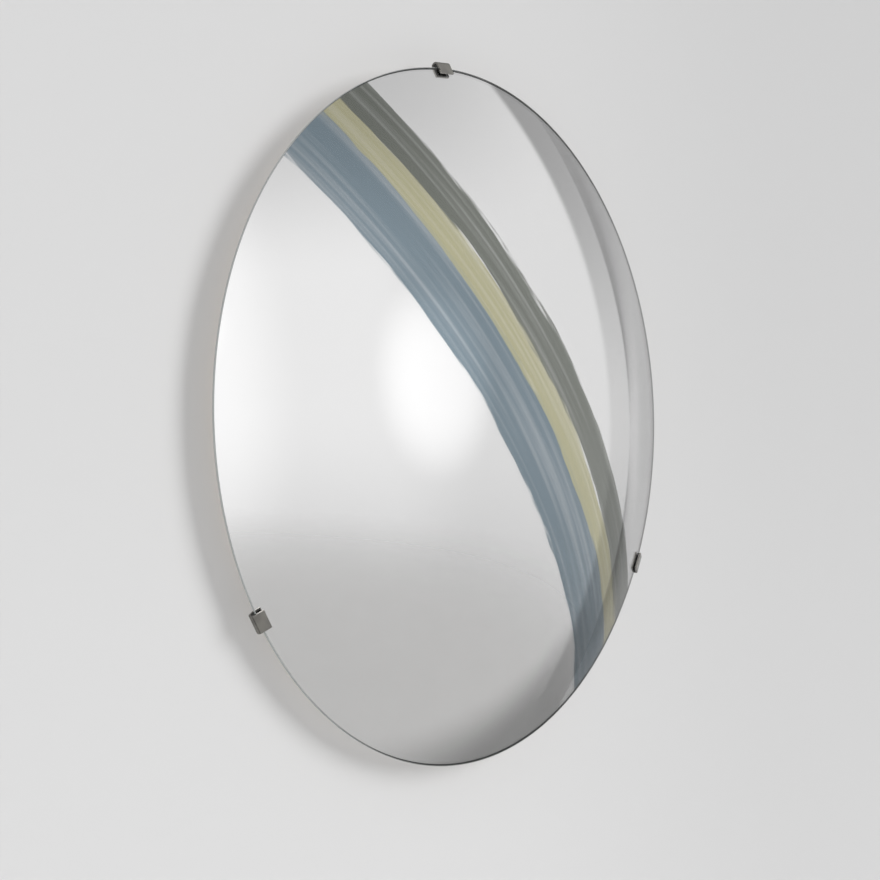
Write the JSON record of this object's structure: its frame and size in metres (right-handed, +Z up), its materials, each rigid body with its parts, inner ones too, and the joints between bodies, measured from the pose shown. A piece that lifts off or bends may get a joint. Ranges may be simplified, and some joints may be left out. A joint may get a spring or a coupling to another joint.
{
  "type": "convex wall mirror",
  "caption": "Round frameless wall mirror of bulging glass, held at its rim by bent metal clips on a backing board, hung on a bevelled wooden rail.",
  "frame": {"origin": "centre of the back face of the wooden rail that is screwed to the wall", "axes": "+Z up, the mirror looks along -Y, +Y into the wall, +X to the right seen from the front"},
  "size_m": [0.899, 0.1418, 0.9064],
  "materials": {
    "clear_glass": "polished",
    "silver": "silvered",
    "plywood": "sealed plywood",
    "hardwood": "oiled",
    "brass": "turned",
    "zinc_plated_steel": "zinc plated",
    "dark_nickel": "satin",
    "clip_liner": "matte",
    "felt": "felt"
  },
  "bodies": {
    "wall_rail": {"wall_rail": "hardwood"},
    "mirror": {"mirror_glass": "clear_glass", "silvered_backing": "silver", "backing_board": "plywood", "clip_inserts": "brass", "hanging_rail": "hardwood", "hanging_rail_screws": "zinc_plated_steel", "spacer_batten": "hardwood", "spacer_batten_screws": "zinc_plated_steel", "spacer_felt_pads": "felt", "left_clip": "dark_nickel", "right_clip": "dark_nickel", "left_clip_liner": "clip_liner", "right_clip_liner": "clip_liner", "top_clip_screws": "zinc_plated_steel", "left_clip_screws": "zinc_plated_steel", "right_clip_screws": "zinc_plated_steel", "top_clip_washers": "zinc_plated_steel", "left_clip_washers": "zinc_plated_steel", "right_clip_washers": "zinc_plated_steel"},
    "top_clip": {"top_clip": "dark_nickel", "top_clip_liner": "clip_liner"}
  },
  "joints": [
    {"name": "lift_off", "type": "slide", "parent": "wall_rail", "child": "mirror", "axis": [0, 0, 1], "range_m": [0, 0.035]},
    {"name": "top_clip_slide", "type": "slide", "parent": "mirror", "child": "top_clip", "axis": [-0.0523, 0, 0.9986], "range_m": [0, 0.012]}
  ]
}
